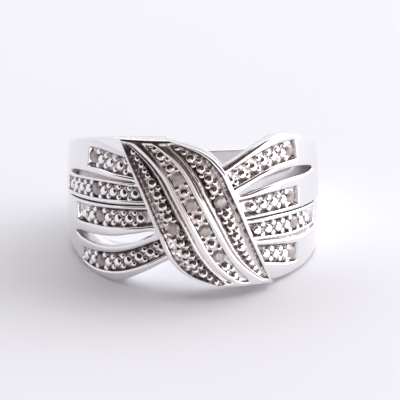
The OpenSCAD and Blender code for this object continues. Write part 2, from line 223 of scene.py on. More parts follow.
BACK_PITCH, FRONT_PITCH = 3.0, 0.8    # degrees from column to column
CLOSE = 0.012                         # no column lies this close beside the gap's end


def strand_half(side):
    """One half of the band in the left half's place: arrays of x, y, z and tone, one line
    of points round the finger to each row of the section, and which rows are walls. The
    tone is 0 where polished, 0.5 on a floor, 1 in a corner painted dark as shade, and -1 in
    the bore."""
    def channel_open(i):
        return lambda u: step((u - CHANNEL_ENDS[i][side] + CHANNEL_LEAD) / CHANNEL_OVER)

    def groove_open(i):
        start, end = GROOVES[i][0][0], GROOVES[i][-1][0]
        return lambda u: step((u - start) / GROOVE_OVER) * step((end - u) / GROOVE_OVER)

    def gap_open(u):
        return step((u - GAP_FROM) / GAP_OVER) * step((GAP_TO - u) / GAP_OVER)

    def always(u):
        return np.ones_like(u)

    def line(rows, way):
        return lambda u: read(rows, 1, u) + way * read(rows, 2, u)

    def top(u):
        return upper_rim(real_turn(u, RIM_OUT), RIM_OUT)

    def bottom(u):
        return lower_rim(real_turn(u, RIM_OUT), RIM_OUT)

    def inside(rows, way, least):
        """A line of the lowest channel, kept clear of the lower edge."""
        return lambda u: np.maximum(line(rows, way)(u), bottom(u) + least)

    c, g = CHANNEL_LINES, GROOVE_LINES
    low_channel = inside(c[3], 1, LOW_ABOVE), inside(c[3], -1, LOW_BELOW)
    gap_top, gap_bottom = (lambda u: read(GAP_LINE, 1, u)), (lambda u: read(GAP_LINE, 2, u))
    # Rails: upper edge, lower edge, and how open the valley above and below each is
    rails = [
        (top, line(c[0], 1), always, channel_open(0)),
        (line(c[0], -1), line(g[0], 1), channel_open(0), groove_open(0)),
        (line(g[0], -1), line(c[1], 1), groove_open(0), channel_open(1)),
        (line(c[1], -1), line(g[1], 1), channel_open(1), groove_open(1)),
        (line(g[1], -1), line(c[2], 1), groove_open(1), channel_open(2)),
        (line(c[2], -1), gap_top, channel_open(2), gap_open),
        (gap_bottom, low_channel[0], gap_open, channel_open(3)),
        (low_channel[1], bottom, channel_open(3), always)]
    first_rail, last_rail, above_gap, below_gap = 0, 7, 5, 6
    # Valley below each rail: its depth, and its rows as shares of the way down and across
    # with their tone, which paints shade into the valleys' corners. None is the open gap.
    channel_rows = [
        (0.45, 0.015, 0.3), (0.80, 0.03, 0.8), (0.96, 0.08, 1.0), (1.0, 0.2, 0.5), (1.0, 0.5, 0.5),
        (1.0, 0.8, 0.5), (0.96, 0.92, 1.0), (0.80, 0.97, 0.8), (0.45, 0.985, 0.3)]
    groove_rows = [
        (0.3, 0.12, 0.1), (0.75, 0.3, 0.4), (1.0, 0.5, 0.7), (0.75, 0.7, 0.4), (0.3, 0.88, 0.1)]
    channel, groove = (CHANNEL_DEPTH, channel_rows), (GROOVE_DEPTH, groove_rows)
    valleys = [channel, groove, channel, groove, channel, None, channel]
    round_angles = [math.radians(v) for v in (90, 67, 45, 22, 0)]

    def rail_round(k, u):
        """Radius of a rail's edges: less on narrow rails, but full on the rims at the back."""
        hi, lo, _, _ = rails[k]
        is_rim = k in (first_rail, last_rail)
        r = RIM_ROUND if is_rim else RAIL_ROUND
        narrow = np.minimum(r, NARROW_SHARE * np.abs(hi(u) - lo(u)))
        return narrow + (r - narrow) * (step((SPREAD_FROM - u) / ROUND_FULL_OVER) if is_rim else 0)

    def painted_flank_reflection(turn):
        """Tone of a rail's flank that dips under the wrap: a painted reflection of the wrap's dark
        side.
        """
        return lambda u: FLANK_REFLECTION * step((u - turn) / FLANK_REFLECTION_OVER)

    def hi_row(k, u, t):
        hi, _, above, _ = rails[k]
        r = rail_round(k, u)
        return hi(u) - r * (1 - math.sin(t)), r * (1 - math.cos(t)) * above(u)

    def lo_row(k, u, t):
        _, lo, _, below = rails[k]
        r = rail_round(k, u)
        return lo(u) + r * (1 - math.sin(t)), r * (1 - math.cos(t)) * below(u)

    def mid_row(k, u):
        hi, lo, _, _ = rails[k]
        return (hi(u) + lo(u)) / 2, np.zeros_like(u)

    def valley_row(k, u, down, across):
        hi, lo = rails[k][1](u), rails[k + 1][0](u)
        start = rail_round(k, u)
        sunk = start + (valleys[k][0] - start) * down
        return hi + (lo - hi) * across, sunk * rails[k][3](u)

    def faded(k, u):
        """How strongly a channel's floor is made satin and painted darker as shade: less and less to
        its outer end.
        """
        if k % 2:
            return 1.0
        return FADED + (1 - FADED) * step((u - CHANNEL_ENDS[k // 2][side]) / FADE_OVER)

    # Rows of the outside from the top down. Each is a function of the layout turn that gives
    # height and depth, and one that gives the tone.
    outer = []
    for k in range(len(rails)):
        # Painted reflection: the flanks that dip under the wrap are painted dark from these turns on
        upper_tone = painted_flank_reflection(FLANK_REFLECTION_LEFT) if k == below_gap else np.zeros_like
        lower_tone = painted_flank_reflection(FLANK_REFLECTION_RIGHT) if k == last_rail and side == 1 else np.zeros_like
        for t in round_angles:
            outer.append((lambda u, t=t, k=k: hi_row(k, u, t), upper_tone))
        outer.append((lambda u, k=k: mid_row(k, u), np.zeros_like))
        for t in round_angles[::-1]:
            outer.append((lambda u, t=t, k=k: lo_row(k, u, t), lower_tone))
        if k == above_gap:
            split = len(outer)
        elif k < last_rail:
            for down, across, tone in valleys[k][1]:
                outer.append((lambda u, k=k, d=down, x=across: valley_row(k, u, d, x),
                              lambda u, k=k, tone=tone: tone * faded(k, u)))

    n_outer = len(outer)
    rim_rows = len(round_angles)

    def spread(u):
        return step((SPREAD_FROM - u) / (SPREAD_FROM - BACK))

    def outer_place(i, u):
        """Height, radius and tone of an outer row at layout turns. Towards the back the rows
        between the rims spread evenly, so that the two halves' rows meet there."""
        z, depth = outer[i][0](u)
        if rim_rows <= i < n_outer - rim_rows:
            at = np.full_like(u, SPREAD_FROM)
            z0, hi0, lo0 = outer[i][0](at)[0], top(at) - RIM_ROUND, bottom(at) + RIM_ROUND
            hi, lo = top(u) - RIM_ROUND, bottom(u) + RIM_ROUND
            share_there = (z0 - lo0) / (hi0 - lo0)
            share_back = 1 - (i - rim_rows + (i < split)) / (n_outer - 2 * rim_rows)
            w = spread(u)
            z = np.where(
                u < SPREAD_FROM, lo + (hi - lo) * (share_there * (1 - w) + share_back * w), z)
        r = band_surface(real_turn(u, BAND_R), z) - depth
        a = real_turn(u, r)
        z = np.clip(z, lower_rim(a, r), upper_rim(a, r))
        # The tone grows with a row's depth, so the painted shade is deepest in the valleys
        return z, r, np.minimum(np.minimum(depth / FULL_TONE_AT, 1) * outer[i][1](u), 1)

    def rim_place(which, inset, r):
        """A row on a side face, at a radius and an inset from the edge."""
        def place(u):
            rim = (upper_rim if which > 0 else lower_rim)(real_turn(u, r), r)
            tone = -1 if r == BORE_R else 0
            return rim - which * inset, np.full_like(u, r), np.full_like(u, tone)
        return place

    def gap_place(which, share, inset):
        """A row on the gap's wall, from its outer edge to the bore, as a share of the way."""
        def place(u):
            edge = gap_top(u) if which > 0 else gap_bottom(u)
            edge = edge + which * inset * gap_open(u)
            sunk = rail_round(above_gap if which > 0 else below_gap, u) * gap_open(u)
            out = band_surface(real_turn(u, BAND_R), edge) - sunk
            # Painted shade: the walls darken where the gap narrows by the wrap, the lower wall most
            tight = step((u - TIGHT_FROM) / TIGHT_OVER) * (1 if which < 0 else TIGHT_ABOVE)
            tone = WALL_TONE + (1 - WALL_TONE) * tight
            return edge, out + (BORE_R - out) * share, tone * (share > 0)
        return place

    def bore_edge(which):
        """The row in the bore at the gap's edge. It runs to the middle of the back."""
        def place(u):
            gap_edge = gap_place(which, 1.0, INNER_ROUND)
            at = np.full_like(u, SPREAD_FROM)
            hi, lo = upper_rim(u, BORE_R), lower_rim(u, BORE_R)
            hi0, lo0 = upper_rim(at, BORE_R), lower_rim(at, BORE_R)
            share_there = (gap_edge(at)[0] - lo0) / (hi0 - lo0)
            w = spread(u)
            z = np.where(u < SPREAD_FROM, lo + (hi - lo) * (share_there * (1 - w) + 0.5 * w),
                         gap_edge(u)[0])
            return z, np.full_like(u, BORE_R), np.full_like(u, -1)
        return place

    def between(a, b, share):
        """A row in the bore, between two others."""
        def place(u):
            za, ra, _ = a(u)
            zb, rb, _ = b(u)
            return za + (zb - za) * share, ra + (rb - ra) * share, np.full_like(u, -1)
        return place

    # Rows of the side faces from the bore outwards, of the gap's walls, and of the bore
    corner = ROUND_AT_45 * INNER_ROUND
    side_rows = ((INNER_ROUND, BORE_R), (corner, BORE_R + corner), (0, BORE_R + INNER_ROUND),
                 (0, (BORE_R + BAND_R) / 2))
    wall_shares = ((0.06, 0), (0.5, 0), (0.93, 0), (0.98, 0.3 * INNER_ROUND))
    bore_shares = np.arange(10) / 10
    halves = []
    for which, outer_range in ((1, range(split)), (-1, range(split, n_outer))):
        sides = [rim_place(which, inset, r) for inset, r in side_rows]
        outside = [lambda u, i=i: outer_place(i, u) for i in outer_range]
        walls = [gap_place(which, share, inset) for share, inset in wall_shares]
        inside_rows = [between(bore_edge(which), rim_place(which, INNER_ROUND, BORE_R), share)
                       for share in bore_shares]
        halves.append((sides + outside, walls, inside_rows) if which > 0 else
                      (outside + sides[::-1], walls[::-1], inside_rows[::-1]))

    # Columns: the same layout turns for every row at first, then each row runs to the wrap
    near_end = (-1.3, -0.95, -0.6, -0.2, 0.2, 0.55, 0.9)
    fixed = np.unique(np.round(np.concatenate([
        np.arange(BACK, SPREAD_FROM, BACK_PITCH),
        np.arange(SPREAD_FROM, LAST_SHARED, FRONT_PITCH),
        [LAST_SHARED, GAP_FROM], *[[row[side] + d for d in near_end] for row in CHANNEL_ENDS]]), 3))
    fixed = fixed[fixed <= LAST_SHARED]
    shares_in = np.linspace(0, 1, 36)[1:]

    def end_turn(place):
        """Layout turn at which a row meets the wrap's left side, found in small steps."""
        u = -20.0
        for _ in range(30):
            z, r, _ = place(np.array([u]))
            x = WRAP_R * math.sin(math.radians(float(np.interp(z[0], EDGE[:, 0], EDGE[:, 1]))))
            a = math.degrees(math.asin(max(-1, min(1, x / r[0]))))
            u = 0.5 * u + 0.5 * float(layout_turn(a, r[0]))
        return u

    gap_end = end_turn(gap_place(1, 0.0, 0))
    close_share = (GAP_TO - LAST_SHARED) / (gap_end - LAST_SHARED)
    clear = np.abs(shares_in - close_share) > CLOSE
    shares_in = np.unique(np.concatenate([shares_in[clear], [close_share]]))
    close_column = len(fixed) + int(np.argmin(np.abs(shares_in - close_share)))

    def turns(place, on_gap):
        """A row's layout turns, and how far each is past the wrap's edge."""
        end = end_turn(place)
        last = max(end, GAP_TO + PAST_GAP) if on_gap else end
        under = [last + UNDER_FIRST, last + UNDER_WRAP]
        if on_gap:
            past_gap = (shares_in - close_share) / (1 - close_share)
            on_way = LAST_SHARED + (gap_end - LAST_SHARED) * shares_in
            tail = np.where(shares_in <= close_share, on_way, GAP_TO + (last - GAP_TO) * past_gap)
        else:
            tail = LAST_SHARED + (end - LAST_SHARED) * shares_in
        u = np.concatenate([fixed, tail, under])
        return u, u - end

    def middle_z(a, r):
        a = np.degrees(a)
        return (upper_rim(a, r) + lower_rim(a, r)) / 2

    gap_from_column = int(np.argmin(np.abs(fixed - GAP_FROM)))
    loops = []
    for is_upper, (outer_part, walls, inner_part) in zip((True, False), halves):
        order = outer_part + walls + inner_part if is_upper else inner_part + walls + outer_part
        first = (len(outer_part) if is_upper else len(inner_part)) - 1
        gap_rows = range(first, first + len(walls) + 2)
        wall_rows = set(range(first, first + len(walls) + 1))
        xs, ys, zs, tones = [], [], [], []
        for i, place in enumerate(order):
            u, past = turns(place, i in gap_rows)
            z, r, tone = place(u)
            a = np.radians(real_turn(u, r))
            # Past the wrap's edge, the skin slopes inwards, clear of the wrap's
            sunk = UNDER_BY * np.clip(past / UNDER_WRAP, 0, 1)
            r = r + sunk * np.sign((BORE_R + BAND_R) / 2 - r)
            z = z - sunk * np.sign(z - middle_z(a, r))
            xs.append(r * np.sin(a))
            ys.append(-r * np.cos(a))
            zs.append(z)
            tones.append(tone)
        loops.append((np.array(xs), np.array(ys), np.array(zs), np.array(tones), wall_rows))
    return loops, gap_from_column, close_column


def fill(bm, layer, xyz, tones, keep, closed):
    """Adds a sheet of quads over rows of points; keep says which quads are there."""
    rows, cols = xyz.shape[:2]
    verts = [[bm.verts.new(xyz[i, j]) for j in range(cols)] for i in range(rows)]
    for i in range(rows):
        for j in range(cols):
            verts[i][j][layer] = float(tones[i, j])
    for i in range(rows if closed else rows - 1):
        for j in range(cols - 1):
            if keep(i, j):
                a, b = verts[i], verts[(i + 1) % rows]
                bm.faces.new((a[j], a[j + 1], b[j + 1], b[j]))
    return verts


def added(name, data):
    """A new object in the scene."""
    piece = bpy.data.objects.new(name, data)
    bpy.context.collection.objects.link(piece)
    return piece


MERGE = 2e-6      # metres within which two points are one


def finished(bm, name):
    """Makes the mesh one closed skin with its faces outwards, and an object of it."""
    bmesh.ops.remove_doubles(bm, verts=bm.verts, dist=MERGE)
    bmesh.ops.dissolve_degenerate(bm, edges=bm.edges, dist=MERGE / 4)
    loose = [v for v in bm.verts if not v.link_faces]
    bmesh.ops.delete(bm, geom=loose, context="VERTS")
    open_edges = [e for e in bm.edges if e.is_boundary]
    if open_edges:
        caps = bmesh.ops.holes_fill(bm, edges=open_edges, sides=0)["faces"]
        bmesh.ops.triangulate(bm, faces=caps)
    bmesh.ops.recalc_face_normals(bm, faces=bm.faces)
    mesh = bpy.data.meshes.new(name)
    bm.to_mesh(mesh)
    bm.free()
    mesh.shade_smooth()
    return added(name, mesh)


# The right half is the left one turned half a turn about the front's middle
bm = bmesh.new()
tone_layer = bm.verts.layers.float.new("tone")
for side, way in ((0, 1), (1, -1)):
    loops, gap_from_column, close_column = strand_half(side)
    for x, y, z, tones, wall_rows in loops:
        def keep(i, j, wall_rows=wall_rows):
            return i not in wall_rows or gap_from_column <= j < close_column
        fill(bm, tone_layer, laid(way * x, y, way * z), tones, keep, True)
strands = finished(bm, "shank_and_strands")


# Rhodium-plated silver, polished on a buff. It gives a clean mirror with a faint waviness
# from the casting, and the floors of the channels, which no buff reaches, stay satin. The
# floors, valleys and corners are also painted darker, as painted shade.
def linear(hex_colour):
    """The linear colour of an sRGB hex value."""
    parts = [int(hex_colour[i:i + 2], 16) / 255 for i in (1, 3, 5)]
    return (*(c / 12.92 if c <= 0.04045 else ((c + 0.055) / 1.055) ** 2.4 for c in parts), 1.0)


def node(tree, kind, links=(), values={}, **settings):
    """Adds a node with its settings, values for its sockets, and links from other nodes."""
    n = tree.nodes.new(kind)
    for key, value in settings.items():
        setattr(n, key, value)
    for socket, value in values.items():
        n.inputs[socket].default_value = value
    for socket, source, output in links:
        tree.links.new(source.outputs[output], n.inputs[socket])
    return n


def new_material(name, values):
    """A material of one Principled shader, with values for its sockets."""
    material = bpy.data.materials.new(name)
    material.use_nodes = True
    tree = material.node_tree
    tree.nodes.clear()
    out = node(tree, "ShaderNodeOutputMaterial")
    shader = node(tree, "ShaderNodeBsdfPrincipled", (), values)
    tree.links.new(shader.outputs[0], out.inputs[0])
    return material, tree, shader


silver, tree, shader = new_material("rhodium_plated_silver", {"Metallic": 1.0})
place = node(tree, "ShaderNodeTexCoord")
# Soft waves about 2.6 mm apart, and the haze of the buff in patches of 0.35 mm
waves = node(tree, "ShaderNodeTexNoise", [("Vector", place, "Object")],
             {"Scale": 1000 / 2.6, "Detail": 1.0})
haze = node(tree, "ShaderNodeTexNoise", [("Vector", place, "Object")],
            {"Scale": 1000 / 0.35, "Detail": 3.0})
# The mesh's tone: 0 polished, 0.5 a floor, 1 a corner in painted shade, -1 the bore. Up to 1
# it makes the metal satin and paints shade into its colour; down to -1 it makes the bore satin.
tone = node(tree, "ShaderNodeAttribute", attribute_name="tone")
satin = node(tree, "ShaderNodeMapRange", [("Value", tone, "Fac")],
             {"To Min": 0.04, "To Max": 0.30})
bore_satin = node(tree, "ShaderNodeMapRange", [("Value", tone, "Fac")],
                  {"From Min": 0, "From Max": -1, "To Min": 0, "To Max": 0.34})
buffed = node(tree, "ShaderNodeMapRange", [("Value", haze, "Fac")],
              {"To Min": 0, "To Max": 0.06})
rough = node(tree, "ShaderNodeMath", [(0, satin, 0), (1, bore_satin, 0)], operation="ADD")
rough = node(tree, "ShaderNodeMath", [(0, rough, 0), (1, buffed, 0)], operation="ADD")
tree.links.new(rough.outputs[0], shader.inputs["Roughness"])
# Painted shade: the colour goes from the polished silver to a grey floor and a dark brown corner as
# the tone rises
colour = node(tree, "ShaderNodeValToRGB", [("Fac", tone, "Fac")])
colour.color_ramp.elements[0].color = linear("#F0EEEF")
colour.color_ramp.elements[1].color = linear("#766B69")
colour.color_ramp.elements.new(0.5).color = linear("#D0C8C6")
tree.links.new(colour.outputs[0], shader.inputs["Base Color"])
# Hollows of the graver, 0.3 mm apart
pits = node(tree, "ShaderNodeTexVoronoi", [("Vector", place, "Object")],
            {"Scale": 1000 / 0.30}, feature="SMOOTH_F1")
pit_depth = node(tree, "ShaderNodeMath", [(0, pits, "Distance"), (1, tone, "Fac")],
                 operation="MULTIPLY", use_clamp=True)
bump = node(tree, "ShaderNodeBump", [("Height", waves, "Fac")],
            {"Strength": 0.25, "Distance": 0.06 / 1000})
carved = node(tree, "ShaderNodeBump", [("Height", pit_depth, 0), ("Normal", bump, 0)],
              {"Strength": 0.8, "Distance": 0.12 / 1000})
tree.links.new(carved.outputs[0], shader.inputs["Normal"])

strands.data.materials.append(silver)
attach(strands, "root")
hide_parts("ring_body")


# The wrap: the broad diagonal band over the strands, of the same casting. Two outer bead
# bands and a middle row lie between thin ridges and broad polished borders.

# Its section from the left edge to the middle: place across, depth below the surface, tone.
# The tone paints shade on the slopes and in the valleys, and makes them satin.
SECTION = [
    [-1.0, 0.14, 0], [-0.993, 0.06, 0], [-0.98, 0.015, 0], [-0.96, 0.0, 0], [-0.93, 0.0, 0],
    [-0.912, 0.012, 0], [-0.903, 0.04, 0.1], [-0.895, 0.12, 0.5], [-0.886, 0.24, 0.6],
    [-0.862, 0.33, 0.4], [-0.825, 0.43, 0.45], [-0.785, 0.53, 0.8], [-0.72, 0.55, 0.5],
    [-0.62, 0.55, 0.5], [-0.56, 0.55, 0.7], [-0.52, 0.50, 1.0], [-0.475, 0.36, 1.0],
    [-0.43, 0.20, 0.9], [-0.405, 0.10, 0.7], [-0.393, 0.04, 0.3], [-0.385, 0.01, 0],
    [-0.376, 0.0, 0], [-0.368, 0.01, 0], [-0.36, 0.05, 0.3], [-0.35, 0.14, 0.8],
    [-0.333, 0.20, 1.0], [-0.318, 0.16, 0.8], [-0.308, 0.07, 0.3], [-0.298, 0.02, 0],
    [-0.28, 0.004, 0], [-0.24, -0.008, 0], [-0.20, 0.0, 0], [-0.185, 0.01, 0],
    [-0.172, 0.04, 0], [-0.163, 0.12, 0.1], [-0.155, 0.24, 0.25], [-0.145, 0.29, 0.4],
    [-0.13, 0.30, 0.45], [-0.065, 0.30, 0.4]]
# Where the section's lines run: how far along, left and right side of the bead channel,
# left and right side of the line beside it
BAND_LINES = [
    [-0.955, -0.90, -0.84, -0.76, -0.72], [-0.90, -0.89, -0.70, -0.62, -0.58],
    [-0.84, -0.89, -0.60, -0.52, -0.48], [-0.78, -0.89, -0.53, -0.455, -0.415],
    [-0.70, -0.89, -0.475, -0.405, -0.365], [-0.60, -0.89, -0.44, -0.37, -0.33],
    [-0.40, -0.89, -0.42, -0.35, -0.305], [0.50, -0.89, -0.42, -0.35, -0.305],
    [0.70, -0.89, -0.44, -0.37, -0.31], [0.80, -0.89, -0.48, -0.41, -0.325],
    [0.88, -0.90, -0.56, -0.49, -0.335], [0.93, -0.905, -0.66, -0.58, -0.34],
    [0.965, -0.91, -0.80, -0.70, -0.35]]
ROW_EDGE = -0.16                     # left side of the middle row
LINES_BY = [-1.0, -0.89, -0.42, -0.35, -0.305, ROW_EDGE, 0.0]      # the same lines in SECTION
CUT_FROM, CUT_TO, CUT_OVER = -0.935, 0.925, 0.02     # where the channels start and end
BORDER = 0.95                        # from here outwards, the rounded edge runs to the tips
RIM_SHARE = 0.7                      # of the rims' rounding, how much the wrap's surface takes
SHADE_FROM, SHADE_OVER = -4.5, 6.5   # heights over which the channels' painted shade deepens to the top
DRAWN_OVER = 0.5                     # inside, points within this of the edge are drawn in


def left_edge(t):
    """Turn and height of the wrap's left edge. The right one is its twin at -t."""
    return np.stack([read(WRAP_LINE, 1, t), read(WRAP_LINE, 2, t)])


def on_wrap(s, t):
    """Turn and height of a place on the wrap, across from -1 to 1 and along from -1 to 1."""
    mid = np.stack([read(WRAP_LINE, 3, t), read(WRAP_LINE, 4, t)])
    return left_edge(t) * s * (s - 1) / 2 + mid * (1 - s * s) - left_edge(-t) * s * (s + 1) / 2


def wrap_point(turn, z, r):
    """The wrap is laid out as seen from the front, so x doesn't change with the radius."""
    x = WRAP_R * np.sin(np.radians(turn))
    return x, -np.sqrt(r * r - x * x), z


def edges_at(x, r):
    """The ring's lower and upper edge at x, at a radius on the front."""
    y = -np.sqrt(r * r - x * x)
    high, low = read(SIDE_LINE, 1, y), read(SIDE_LINE, 2, y)
    return np.where(x < 0, low, -high), np.where(x < 0, high, -low)


section = SECTION + [[0.0, 0.30, 0.4]] + [[-s, d, t] for s, d, t in SECTION[::-1]]
s_col, d_col, tone_col = (np.array([row[k] for row in section])[:, None] for k in (0, 1, 2))
near_tips = [way * v for way in (-1, 1) for v in (1, 0.992, 0.985, 0.977, 0.968, 0.959)]
ts = np.unique(np.round(np.concatenate([np.linspace(-0.95, 0.95, 125), near_tips]), 4))
along = np.where(s_col < 0, ts, -ts)
band_lines = smooth(BAND_LINES)


def across(s, t):
    """Moves a place of the section, left half, to where its lines run at t."""
    lines = [-1.0] + [float(read(band_lines, k, t)) for k in (1, 2, 3, 4)] + [ROW_EDGE, 0.0]
    return float(np.interp(s, LINES_BY, lines))


s_grid = np.array([
    [math.copysign(across(-abs(s), t if s < 0 else -t), s) if s else 0.0 for t in ts]
    for s in s_col[:, 0]])
cut = step((along - CUT_FROM) / CUT_OVER) * step((CUT_TO - along) / CUT_OVER)
cut = np.where(np.abs(s_col) > BORDER, 1.0, cut)
turn, z = on_wrap(s_grid, np.broadcast_to(ts, s_grid.shape))
full_z = np.clip(z, -HALF_WIDTH, HALF_WIDTH)
low, high = edges_at(WRAP_R * np.sin(np.radians(turn)), WRAP_R - DOME_DROP)
z = np.clip(z, low, high)
to_rim = np.minimum(high - z, z - low)
rounded = RIM_ROUND - np.sqrt(np.maximum(RIM_ROUND ** 2 - (RIM_ROUND - to_rim) ** 2, 0))
rim = np.where(to_rim < RIM_ROUND, rounded, 0) * RIM_SHARE
top = WRAP_R - DOME_DROP * (z / HALF_WIDTH) ** 2 - d_col * cut - rim


def inner(r, inset):
    """The wrap's points at a radius below its surface, at most an inset from its edges."""
    low, high = edges_at(WRAP_R * np.sin(np.radians(turn)), r)
    edge = np.where(full_z > 0, high, -low)
    near = edge - DRAWN_OVER
    size = np.abs(full_z)
    drawn = near + (size - near) * (edge - inset - near) / (HALF_WIDTH - near)
    height = np.sign(full_z) * np.where(size > near, drawn, size)
    return laid(*wrap_point(turn, height, np.full_like(turn, r)))


# Each line of points runs down the outside, in over the rim, back up through the bore and
# out over the other rim. The first and the last line bound the sides over the strands.
bm = bmesh.new()
tone_layer = bm.verts.layers.float.new("tone")
corner = ROUND_AT_45 * INNER_ROUND
walls = [inner(r, inset) for r, inset in (
    ((BORE_R + WRAP_R) / 2, 0), (BORE_R + INNER_ROUND, 0), (BORE_R + corner, corner))]
loop = np.concatenate([
    laid(*wrap_point(turn, z, top)), np.stack([w[:, -1] for w in walls], 1),
    inner(BORE_R, INNER_ROUND)[:, ::-1], np.stack([w[:, 0] for w in walls[::-1]], 1)], axis=1)
loop = np.concatenate([loop, loop[:, :1]], axis=1)
count = len(ts)
back_from, back_to = count + len(walls), 2 * count + len(walls)
tones = np.zeros(loop.shape[:2])
# Painted shade: the wrap's channels are painted darker towards the top
tones[:, :count] = tone_col * cut * (0.5 + 0.5 * step((z - SHADE_FROM) / SHADE_OVER))
tones[:, back_from:back_to] = -1
verts = fill(bm, tone_layer, loop, tones, lambda i, j: True, False)
for edge in (verts[0], verts[-1]):
    for j in range(count - 1):
        bm.faces.new((edge[j], edge[j + 1], edge[back_to - 2 - j], edge[back_to - 1 - j]))
wrap = finished(bm, "wrap")
wrap.data.materials.append(silver)
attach(wrap, "root")
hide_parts("ring_body")


# The beads: round ones and pairs of small ones, raised from the channel floors with a
# beading tool and burnished to a mirror. Their places start from the stones'.

# Layout turns of the strands' stones, on the left and on the right-hand twin of each strand
STRAND_STONES = [[-53.0, -50.4], [-50.8, -51.0], [-48.2, -48.4], [-50.0, -49.6]]
# The wrap's middle row: how far along it the stones, beads, pairs and lone small beads are
ROW_STONES = [-0.505, -0.147, 0.207, 0.565]
ROW_BEADS = [-0.81, -0.66, -0.33, 0.022, 0.38, 0.70, 0.83]
ROW_PAIRS = [-0.75, -0.60, -0.42, -0.24, -0.065, 0.115, 0.29, 0.475, 0.765]
ROW_SINGLES = [-0.945, -0.886, 0.895, 0.945]
PAIR_SKEW = 0.015      # a pair's beads are this far along the wrap from its middle
# The wrap's side bands: their place across, how far along their stone, beads and pairs
# are, and the places across and along of the lone small beads at their tips
SIDE_S, SIDE_STONE_T = 0.62, 0.145
SIDE_BEADS = [-0.472, -0.312, -0.165, -0.02, 0.317, 0.455, 0.595, 0.735]
SIDE_PAIRS = [-0.392, -0.24, -0.094, 0.05, 0.24, 0.385, 0.525, 0.665]
SIDE_SINGLES = [
    [-0.77, -0.845], [-0.725, -0.775], [-0.695, -0.70], [-0.665, -0.632], [-0.645, -0.566],
    [-0.65, 0.81], [-0.68, 0.875]]
BEAD_PITCH, STONE_CLEAR = 1.06, 0.98      # from bead to bead, and from a stone to a bead
GRAIN_D, STONE_D, GRAIN_CLEAR = 0.40, 1.05, 0.05
GRAIN_OUT, SIDE_GRAIN_S, ROW_GRAIN_S = 0.42, 0.09, 0.105      # small beads off their row's line
BEAD_BELOW, GRAIN_BELOW = 0.03, 0.10      # the caps' tops lie this far below the rails
WRAP_CLEAR, END_CLEAR = 1.0, 2.5          # degrees without beads before the wrap and the end
MM_PER_DEG = math.pi * LAYOUT_R / 180
# A bead's section, in shares of its radius: a broad cap, and a rounded shoulder from where
# the cap leans by this many degrees. The caps face a little up.
CAP_ROUND, CAP_LEAN = 3.5, 12.0
FOOT_R = 0.96
TOPS_LEAN = math.radians(14)


def channel_at(i, u):
    """Turn and height of a strand's channel at a layout turn."""
    return np.array([u, read(CHANNEL_LINES[i], 1, u)])


stone_places = [on_wrap(0.0, t) for t in ROW_STONES]
stone_places += [way * on_wrap(-SIDE_S, SIDE_STONE_T) for way in (1, -1)]
stone_places += [way * channel_at(i, turns[side])
                 for i, turns in enumerate(STRAND_STONES) for side, way in ((0, 1), (1, -1))]


def off_stones(place):
    """Moves a small bead straight away from a stone that it would touch."""
    least = STONE_D / 2 + GRAIN_D / 2 + GRAIN_CLEAR
    for stone in stone_places:
        d = (place - stone) * (MM_PER_DEG, 1)
        size = float(np.hypot(*d))
        if 0 < size < least:
            return stone + d / (MM_PER_DEG, 1) * least / size
    return place


large, small = [], []
pitch, clear = BEAD_PITCH / MM_PER_DEG, STONE_CLEAR / MM_PER_DEG
for i, turns in enumerate(STRAND_STONES):
    for side, way in ((0, 1), (1, -1)):
        inwards = [u for u in np.arange(turns[side] + clear, 0, pitch)
                   if u < read(EDGE, 1, channel_at(i, u)[1]) - WRAP_CLEAR]
        last = CHANNEL_ENDS[i][side] + END_CLEAR
        outwards = list(np.arange(turns[side] - clear, last - 1e-9, -pitch))
        for u in inwards + outwards:
            large.append((way * channel_at(i, u), BAND_R))
        for u in [v - pitch / 2 for v in inwards] + [v + pitch / 2 for v in outwards]:
            for up in (-1, 1):
                small.append((off_stones(way * (channel_at(i, u) + (0, up * GRAIN_OUT))), BAND_R))
for way in (1, -1):
    large += [(way * on_wrap(-SIDE_S, t), WRAP_R) for t in SIDE_BEADS]
    small += [(off_stones(way * on_wrap(-SIDE_S + out * SIDE_GRAIN_S, t - out * PAIR_SKEW)), WRAP_R)
              for t in SIDE_PAIRS for out in (-1, 1)]
    small += [(way * on_wrap(s, t), WRAP_R) for s, t in SIDE_SINGLES]
large += [(on_wrap(0.0, t), WRAP_R) for t in ROW_BEADS]
small += [(off_stones(on_wrap(out * ROW_GRAIN_S, t - out * PAIR_SKEW)), WRAP_R)
          for t in ROW_PAIRS for out in (-1, 1)]
small += [(on_wrap(0.0, t), WRAP_R) for t in ROW_SINGLES]


def bead_points(name, places, below):
    """Loose points at the beads' middles, with the way that each one faces."""
    mesh = bpy.data.meshes.new(name)
    points, ways = [], []
    for (degrees, height), r in places:
        a = math.radians(degrees)
        radius = r - DOME_DROP * (height / HALF_WIDTH) ** 2 - below
        out = np.array([math.sin(a), -math.cos(a), 0.0])
        points.append(laid(radius * out[0], radius * out[1], height))
        ways.append(laid(*(out + (0, 0, math.tan(TOPS_LEAN)))) - laid(0.0, 0.0, 0.0))
    mesh.from_pydata([tuple(p) for p in points], [], [])
    attribute = mesh.attributes.new("facing", "FLOAT_VECTOR", "POINT")
    attribute.data.foreach_set("vector", np.array(ways).ravel())
    return added(name, mesh)


